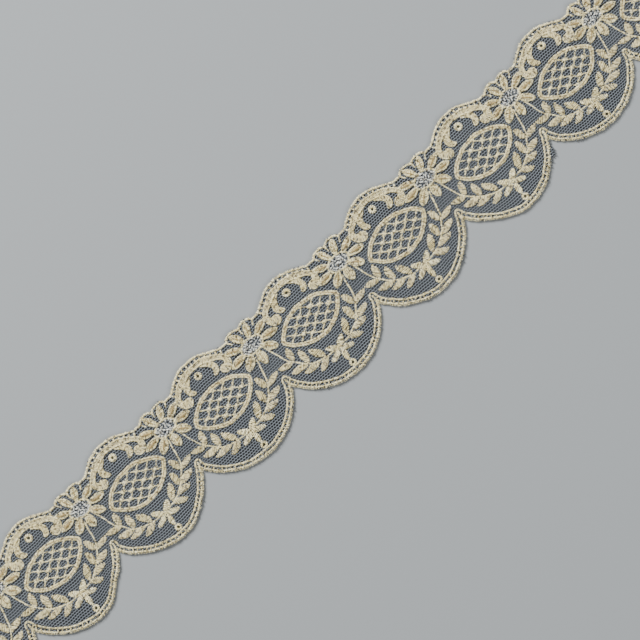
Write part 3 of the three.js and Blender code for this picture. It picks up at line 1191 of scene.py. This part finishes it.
@dataclass
class LatticedOval:
    """A pointed oval: a band of two satin rows with a darker tan row between them, partly painted shade, and
    a lattice inside.

    The lattice's bars cross the long axis at odd steps of half a cell, and its knots sit where bars meet.
    """

    half_length: float = 14.6
    half_height: float = 7.7
    tip_rise: float = 0.5
    tip_rounding: int = 2
    arc_points: int = 41
    band_offset: float = 0.42
    band_half: float = 0.45
    band_slant: float = 15.0
    groove_half: float = 0.42
    cell_half: float = 3.125
    cell_height: float = 2.1
    bar_steps: tuple[int, ...] = (-3, -1, 1, 3)
    bar_cells: int = 8
    bar_points: int = 321
    bar_half: float = 0.26
    bar_slant: float = 20.0
    bar_sway: float = 0.16
    sway_points: int = 20
    knot_columns: int = 3
    knot_rows: int = 2
    knot_half: float = 0.9
    knot_length: float = 2.4
    knot_points: int = 7
    knot_taper: float = 0.75
    knot_room: float = 0.6

    def circle(self) -> tuple[float, float]:
        """Radius of the oval's two arcs, and how far their middles lie from its long axis."""
        radius = (self.half_length**2 + self.half_height**2) / (2 * self.half_height)
        return radius, radius - self.half_height

    def holds(self, x: float | np.ndarray, y: float | np.ndarray, room: float = 0.0) -> Any:
        """Which places lie inside the band's inner row, with some room to spare."""
        radius, away = self.circle()
        return np.hypot(x, np.abs(y) + away) < radius - self.band_offset - room

    def ring(self, offset: float) -> np.ndarray:
        """A closed line beside the band's middle, with its two points a little rounded and raised.

        Args:
            offset: how far outside the band's middle it lies.

        Returns:
            X and Y, a row for each point.
        """
        radius, away = self.circle()
        radius += offset
        half = math.degrees(math.acos(away / radius))
        upper = arc((0, -away), (radius, radius), 90 - half, 90 + half, self.arc_points)[:-1]
        ring = np.concatenate([upper, -upper])
        for _ in range(self.tip_rounding):
            ring = (np.roll(ring, 1, axis=0) + 2 * ring + np.roll(ring, -1, axis=0)) / 4
        ring[:, 1] += self.tip_rise * (ring[:, 0] / self.half_length) ** 2
        return ring

    def bands(self) -> list[Row]:
        """The two satin rows of the band.

        Returns:
            Their rows.
        """
        rows = []
        for side in SIDES:
            ring = self.ring(side * self.band_offset)
            rows.append(Row(ring, self.band_half, side * self.band_slant, closed=True))
        return on_axes(rows)

    def grooves(self) -> list[Row]:
        """The darker tan row between them, partly painted shade."""
        return on_axes([Row(self.ring(0.0), self.groove_half, closed=True)])

    def bars(self) -> list[Row]:
        """The crossing bars of one lattice.

        Returns:
            Their rows, each a little wavy.
        """
        rows = []
        cells = np.linspace(-self.bar_cells, self.bar_cells, self.bar_points)[:, None]
        for slope in SIDES:
            ahead = np.array([self.cell_half, slope * self.cell_height])
            for step in self.bar_steps:
                line = np.array([step * self.cell_half, 0]) + cells * ahead
                bar = line[self.holds(line[:, 0], line[:, 1])]
                sway = self.bar_sway * np.sin(np.arange(len(bar)) * math.pi / self.sway_points)
                rows.append(Row(beside(bar, sway), self.bar_half, slant=slope * self.bar_slant))
        return rows

    def knots(self) -> list[Row]:
        """The thicker knots where the bars of one lattice meet.

        Returns:
            Their rows, each narrow at its ends.
        """
        rows = []
        along = np.linspace(-1, 1, self.knot_points)
        half = self.knot_half * (1 - self.knot_taper * along**2)
        for i in range(-self.knot_columns, self.knot_columns + 1):
            for j in range(-self.knot_rows, self.knot_rows + 1):
                x, y = i * self.cell_half, j * self.cell_height
                if (i + j) % 2 and self.holds(x, y, self.knot_room):
                    path = np.column_stack([x + along * self.knot_length / 2, np.full(self.knot_points, y)])
                    rows.append(Row(path, half))
        return rows

    def make(self, machine: Machine) -> None:
        """Sews the band, its darker row and the lattice.

        Args:
            machine: sews the rows.
        """
        machine.sew("oval_bands", self.bands(), CORD, IVORY)
        # The grooves are tan thread and painted shade of the band's valley.
        machine.sew("oval_grooves", self.grooves(), RUNNING, TAN_AND_PAINTED_SHADE)
        machine.sew("oval_lattices", on_axes(self.bars() + self.knots()), BAR, IVORY)


LEAF_POINTS = 15
SATIN_SPAN = (0.04, 0.96)


@dataclass(frozen=True)
class LeafSize:
    """A leaf or petal from its base to its tip.

    Attributes:
        base: where it starts.
        tip: where it ends.
        width: its greatest width.
        widest: the share of its length where it is widest.
        sharpness: 0 for a square tip, 1 for a pointed one.
    """

    base: tuple[float, float]
    tip: tuple[float, float]
    width: float
    widest: float = 0.5
    sharpness: float = 0.7

    def middle(self, start: float, end: float) -> tuple[np.ndarray, np.ndarray]:
        """Its middle line between two shares of its length, and half its width there.

        Args:
            start: the share of the length where the line begins.
            end: the share of the length where it ends.

        Returns:
            The line's points and the half widths.
        """
        share = np.linspace(start, end, LEAF_POINTS)
        ends = np.array([self.base, self.tip])
        growth = self.sharpness * self.widest / (1 - self.widest)
        full = (share / self.widest) ** growth * ((1 - share) / (1 - self.widest)) ** self.sharpness
        return ends[0] + share[:, None] * (ends[1] - ends[0]), self.width / 2 * full

    def satin(self, slant: float) -> Row:
        """One satin row over its whole width."""
        return Row(*self.middle(*SATIN_SPAN), slant=slant)


@dataclass
class Daisy:
    """Nine padded petals round a dotted oval middle.

    Attributes:
        along: from the oval's axis to the daisy's.
        height: of the daisy's middle.
        petals: how many there are.
        reach: from the middle to the tips, along X and Y.
        disc: the middle's radii.
        root: where a petal starts, as a share of the disc.
        fan: degrees by which the roots are spread more evenly than the tips.
        petal_widths: of a petal that points up or sideways, and of the one that points down.
        width_levels: the sines of the direction between which the width changes.
        core: half width of the tan padding and painted shade in a petal across the strip, and in one along
            it.
        core_span: the shares of a petal's length where its padding and painted shade show.
        lens_span: the part of a half wave that gives the padding its narrow ends.
        rim_span: the shares of a petal's length that its rim goes round.
        filling_inset: from the rim to the knots of the middle.
    """

    along: float = HALF_PITCH - 0.3
    height: float = 8.85
    petals: int = 9
    reach: tuple[float, float] = (12.1, 9.25)
    disc: tuple[float, float] = (5.0, 3.1)
    root: float = 0.8
    fan: float = 10.0
    petal_widths: tuple[float, float] = (3.0, 3.9)
    width_levels: tuple[float, float] = (-1.0, 0.2)
    petal_slant: float = 20.0
    widest: float = 0.56
    sharpness: float = 0.78
    rim_half: float = 0.3
    rim_line: float = 0.36
    rim_span: tuple[float, float] = (0.08, 0.98)
    rim_points: int = 48
    core: tuple[float, float] = (0.2, 0.6)
    core_span: tuple[float, float] = (0.28, 0.8)
    lens_span: tuple[float, float] = (0.12, 0.88)
    filling_inset: float = 0.5
    filling_lift: float = 0.15
    filling_points: int = 32
    knot_under: float = 0.6
    knot_apart: float = 0.84
    knot_size: float = 0.56
    knot_seed: int = 61

    def petal_sizes(self) -> list[tuple[LeafSize, float]]:
        """The petals, one of them pointing straight down.

        Their outlines start under the middle, so that they are already broad where they leave its rim.

        Returns:
            Each petal, with half the width of its padding.
        """
        narrow, wide = self.core
        middle = np.array((0, self.height))
        found = []
        for tip_turn in np.radians(-90 + np.arange(self.petals) * 360 / self.petals):
            root_turn = tip_turn + math.radians(self.fan) * math.sin(2 * tip_turn)
            base = middle + self.root * np.array([math.cos(root_turn), math.sin(root_turn)]) * self.disc
            tip = middle + np.array([math.cos(tip_turn), math.sin(tip_turn)]) * self.reach
            width = np.interp(math.sin(tip_turn), self.width_levels, self.petal_widths[::-1])
            petal = LeafSize(tuple(base), tuple(tip), width, self.widest, self.sharpness)
            # The painted shade of the groove is widest in petals along the strip.
            found.append((petal, narrow + (wide - narrow) * math.cos(tip_turn) ** 2))
        return found

    def satin(self) -> list[Row]:
        """The petals' satin rows."""
        return on_axes([petal.satin(self.petal_slant) for petal, _ in self.petal_sizes()], start=self.along)

    def petal_rims(self) -> list[Row]:
        """A narrow raised row round each petal.

        Returns:
            Their rows.
        """
        rows = []
        for petal, _ in self.petal_sizes():
            line, half = petal.middle(*self.rim_span)
            inset = np.maximum(half - self.rim_half, 0)
            left, right = beside(line, inset), beside(line, -inset)
            rows.append(Row(np.concatenate([left, right[::-1]]), self.rim_half))
        return on_axes(rows, start=self.along)

    def padding_and_shade(self) -> list[Row]:
        """The tan padding thread and painted shade in the middle of each petal, which show most in those
        along the strip.

        Returns:
            Its rows.
        """
        lens = np.sin(np.linspace(*self.lens_span, LEAF_POINTS) * math.pi)
        rows = [Row(petal.middle(*self.core_span)[0], core * lens) for petal, core in self.petal_sizes()]
        return on_axes(rows, start=self.along)

    def rim(self) -> list[Row]:
        """The line of stitches round the middle."""
        ring = ellipse((0, self.height), self.disc, self.rim_points)
        return on_axes([Row(ring, self.rim_line, closed=True)], start=self.along)

    def make(self, machine: Machine) -> None:
        """Sews the petals, their rims, their tan padding with painted shade, and the line round the middle.

        Args:
            machine: sews the rows.
        """
        machine.sew("daisy_petals", self.satin(), PETAL, IVORY)
        machine.sew("petal_rims", self.petal_rims(), PETAL_RIM, IVORY)
        # The tan cores are tan thread and painted shade of the petals' grooves.
        machine.sew("daisy_grooves", self.padding_and_shade(), PADDING_AND_SHADE, TAN_AND_PAINTED_SHADE)
        machine.sew("daisy_rims", self.rim(), MIDDLE_RIM, IVORY)

    def fill(self, machine: Machine) -> None:
        """Fills every daisy's middle with small knots, scattered over a flat oval.

        Args:
            machine: keeps the piece.
        """
        vertices, faces = [], []
        inside = np.array(self.disc) - self.filling_inset
        for axis in AXES[:-1]:
            ring = ellipse((axis + self.along, self.height), inside, self.filling_points)
            faces.append(range(len(vertices), len(vertices) + len(ring)))
            vertices += machine.lay.place(ring, NET_HEIGHT + self.filling_lift).tolist()
        settings = {
            "Apart": self.knot_apart * MM,
            "Size": self.knot_size * MM,
            "Seed": self.knot_seed,
            "Shape": stitch_loop(LoopShape.ROUND, self.knot_under),
            "Material": machine.threads[PALE],
        }
        machine.keep(SeedTree().run("daisy_middles", mesh_of("ovals", vertices, faces=faces), settings))


@dataclass
class Scroll:
    """The pair of scrolls under an arch: a wide outer curl and a hook, as rows of X, Y and half width."""

    curl: tuple[tuple[float, float, float], ...] = (
        (0.0, 18.85, 1.15),
        (4.1, 18.3, 1.3),
        (7.75, 16.9, 1.3),
        (11.2, 14.75, 1.1),
        (12.65, 12.95, 1.2),
        (12.75, 11.6, 1.35),
        (12.05, 10.3, 1.6),
        (10.85, 9.6, 1.9),
        (9.6, 9.6, 1.95),
        (8.3, 9.75, 0.9),
    )
    hook: tuple[tuple[float, float, float], ...] = (
        (3.4, 17.1, 0.7),
        (6.0, 15.5, 1.2),
        (7.15, 13.4, 1.3),
        (6.9, 11.9, 1.25),
        (6.0, 10.9, 1.0),
        (5.2, 10.55, 0.5),
    )
    slant: float = 12.0
    rim_half: float = 0.3

    def lines(self) -> list[np.ndarray]:
        """The smooth middle lines of the curl and the hook, with their half widths."""
        return [smooth(points) for points in (self.curl, self.hook)]

    def bands(self) -> list[Row]:
        """The wide satin rows."""
        return on_axes([Row(line[:, :2], line[:, 2], slant=self.slant) for line in self.lines()], SIDES)

    def rims(self) -> list[Row]:
        """A narrow row along each edge of the bands.

        Returns:
            Their rows.
        """
        rows = []
        for line in self.lines():
            for side in SIDES:
                rows.append(Row(beside(line[:, :2], side * (line[:, 2] - self.rim_half)), self.rim_half))
        return on_axes(rows, SIDES)

    def make(self, machine: Machine) -> None:
        """Sews the bands and their rims."""
        machine.sew("scroll_bands", self.bands(), SCROLL_BAND, IVORY_IN_PAINTED_SHADE)
        machine.sew("scroll_rims", self.rims(), SCROLL_RIM, IVORY)


@dataclass
class LeafSpray:
    """A stem with seven leaves on each side of a repeat, and the sprig where the two stems meet."""

    leaves: tuple[LeafSize, ...] = (
        LeafSize((17.0, -7.1), (15.0, -1.6), 3.3),
        LeafSize((17.2, -7.6), (23.4, -5.6), 2.8),
        LeafSize((12.9, -11.7), (12.1, -5.4), 3.4),
        LeafSize((13.4, -12.1), (20.2, -10.2), 3.2),
        LeafSize((6.1, -14.3), (9.2, -8.2), 3.5),
        LeafSize((9.2, -14.3), (16.3, -13.95), 3.0),
        LeafSize((5.3, -15.1), (11.35, -17.6), 3.1),
    )
    stem: tuple[tuple[float, float], ...] = (
        (2.6, -15.2),
        (5.6, -14.95),
        (9.35, -13.9),
        (13.2, -11.8),
        (16.85, -7.45),
        (18.6, -4.65),
        (20.4, 1.8),
        (21.1, 4.2),
    )
    stem_half: float = 0.36
    stem_slant: float = 25.0
    sprig_petals: tuple[LeafSize, ...] = (
        LeafSize((0.1, -16.0), (4.1, -12.3), 2.8, sharpness=0.42),
        LeafSize((0.3, -16.4), (5.6, -18.0), 2.6, sharpness=0.42),
    )
    drop: LeafSize = LeafSize((0.0, -16.8), (0.0, -21.6), 2.7, sharpness=0.5)
    slant: float = 24.0

    def leaf_rows(self) -> list[Row]:
        """The leaves' satin rows."""
        return on_axes([leaf.satin(self.slant) for leaf in self.leaves], SIDES)

    def stem_rows(self) -> list[Row]:
        """The stems."""
        return on_axes([Row(smooth(self.stem), self.stem_half, slant=self.stem_slant)], SIDES)

    def sprig_rows(self) -> list[Row]:
        """The sprig's petals and the drop below it."""
        petals = [petal.satin(self.slant) for petal in self.sprig_petals]
        return on_axes(petals, SIDES) + on_axes([self.drop.satin(self.slant)])

    def make(self, machine: Machine) -> None:
        """Sews the leaves, the stems and the sprigs.

        Args:
            machine: sews the rows.
        """
        machine.sew("leaves", self.leaf_rows(), LEAF, IVORY_IN_PAINTED_SHADE)
        machine.sew("stems", self.stem_rows(), LINE, IVORY)
        machine.sew("sprigs", self.sprig_rows(), LEAF, IVORY)


@dataclass
class LooseEnds:
    """Small loops along the outside of the lower edge, and short cut ends along the outside of both."""

    border: ScallopBorder
    heading: Heading
    picot_reach: float = 0.5
    picot_half: float = 0.3
    lower_reach: float = 0.6
    lower_half: float = 0.35
    upper_reach: float = 0.3
    upper_half: float = 0.3

    def make(self, machine: Machine) -> None:
        """Sews the loops and the cut ends.

        Args:
            machine: sews the rows.
        """
        picots = Row(beside(self.border.outer(), -self.picot_reach), self.picot_half)
        lower = Row(beside(self.border.outer(), -self.lower_reach), self.lower_half)
        upper = Row(beside(self.heading.edge(), self.upper_reach), self.upper_half)
        machine.sew("picots", [picots], PICOT, IVORY)
        machine.sew("cut_ends", [lower, upper], WHISKER, IVORY)


@dataclass(frozen=True)
class Lamp:
    """A square soft light that faces the strip, with its place and side in metres and its power in watts."""

    name: str
    place: tuple[float, float, float]
    side: float
    power: float

    def hang(self) -> None:
        """Puts the light in the scene."""
        data = bpy.data.lights.new(self.name, "AREA")
        data.size = self.side
        data.energy = self.power
        lamp = put(self.name, data)
        lamp.location = self.place
        lamp.rotation_euler = lamp.location.to_track_quat("Z", "Y").to_euler()


@dataclass(frozen=True)
class Studio:
    """A camera square above the strip, soft lights and a pale floor.

    Attributes:
        turn: the camera's turn about the vertical, in degrees.
        middle: the pattern point under the camera.
        frame_mm: how much of the strip's plane the picture spans.
        lens: focal length in millimetres.
        sensor: the sensor's width in millimetres.
        floor_half: half the floor's side, in metres.
        floor_colour: the floor's paint.
        floor_roughness: how matt that is.
        room_light: strength of the even light all round.
        lamps: the key light and the fill.
    """

    turn: float = -43.94
    middle: tuple[float, float] = (2.3, -2.84)
    frame_mm: float = 255.4
    lens: float = 100.0
    sensor: float = 36.0
    floor_half: float = 2.0
    floor_colour: str = "#868a8c"
    floor_roughness: float = 0.9
    room_light: float = 0.05
    lamps: tuple[Lamp, ...] = (
        Lamp("key", (-0.1, 1.5, 0.95), side=0.6, power=97.0),
        Lamp("fill", (0.5, -1.4, 0.95), side=0.9, power=31.0),
    )

    def camera(self, shift: float) -> None:
        """Sets the camera above the picture's middle.

        Args:
            shift: from the pattern to the frame, towards the heading.
        """
        data = bpy.data.cameras.new("camera")
        data.lens = self.lens
        data.sensor_width = self.sensor
        camera = put("camera", data)
        height = self.frame_mm * self.lens / self.sensor + NET_HEIGHT
        camera.location = np.array([self.middle[0], self.middle[1] + shift, height]) * MM
        camera.rotation_euler = (0, 0, math.radians(self.turn))
        bpy.context.scene.camera = camera

    def floor(self) -> None:
        """Lays the floor."""
        half = self.floor_half
        corners = [(-half, -half, 0), (half, -half, 0), (half, half, 0), (-half, half, 0)]
        # Matt paint on board: plain, pale and without a reflection.
        material, add = blank("matt painted board")
        paint = {"Base Color": linear(self.floor_colour), "Roughness": self.floor_roughness}
        add("ShaderNodeOutputMaterial", {"Surface": add("ShaderNodeBsdfPrincipled", paint)})
        mesh = mesh_of("floor", corners, faces=[range(4)])
        mesh.materials.append(material)
        put("floor", mesh)

    def world(self) -> None:
        """Gives the room an even dim light."""
        world = bpy.data.worlds.new("room")
        world.use_nodes = True
        background = world.node_tree.nodes["Background"]
        background.inputs["Color"].default_value = (1, 1, 1, 1)
        background.inputs["Strength"].default_value = self.room_light
        bpy.context.scene.world = world

    def set_up(self, shift: float) -> None:
        """Sets up the floor, the lights and the camera.

        Args:
            shift: from the pattern to the frame, towards the heading.
        """
        self.floor()
        self.world()
        for lamp in self.lamps:
            lamp.hang()
        self.camera(shift)


def main() -> None:
    """Builds the trim part by part, then the studio."""
    logging.basicConfig(level=logging.INFO, format="%(name)s: %(message)s")
    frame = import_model()
    log.info("frame: %d node", len(frame["nodes"]))
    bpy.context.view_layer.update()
    border, heading, daisy, eyelets = ScallopBorder(), Heading(), Daisy(), Eyelets()
    # The highest arch that is whole meets the top of the frame's box. The first and the last one are cut.
    highest = max(oval.across for oval in Lay.ovals[1:-1])
    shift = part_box(NODE)[1].y / MM - (heading.arch_top + heading.half + highest)
    lay = Lay(shift, border.low, border.valley)

    ground = NetGround()
    net = carry(ground.make(border, heading, eyelets, lay))
    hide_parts(NODE)

    # The order of the parts gives each piece the seed of its stitches.
    machine = Machine(lay)
    edging = LooseEnds(border, heading)
    for part in (border, heading, LatticedOval(), daisy, Scroll(), LeafSpray(), eyelets, edging):
        part.make(machine)
    daisy.fill(machine)

    area = ground.flat_area(border, heading)

    Studio().set_up(shift)


if __name__ == "__main__":
    main()
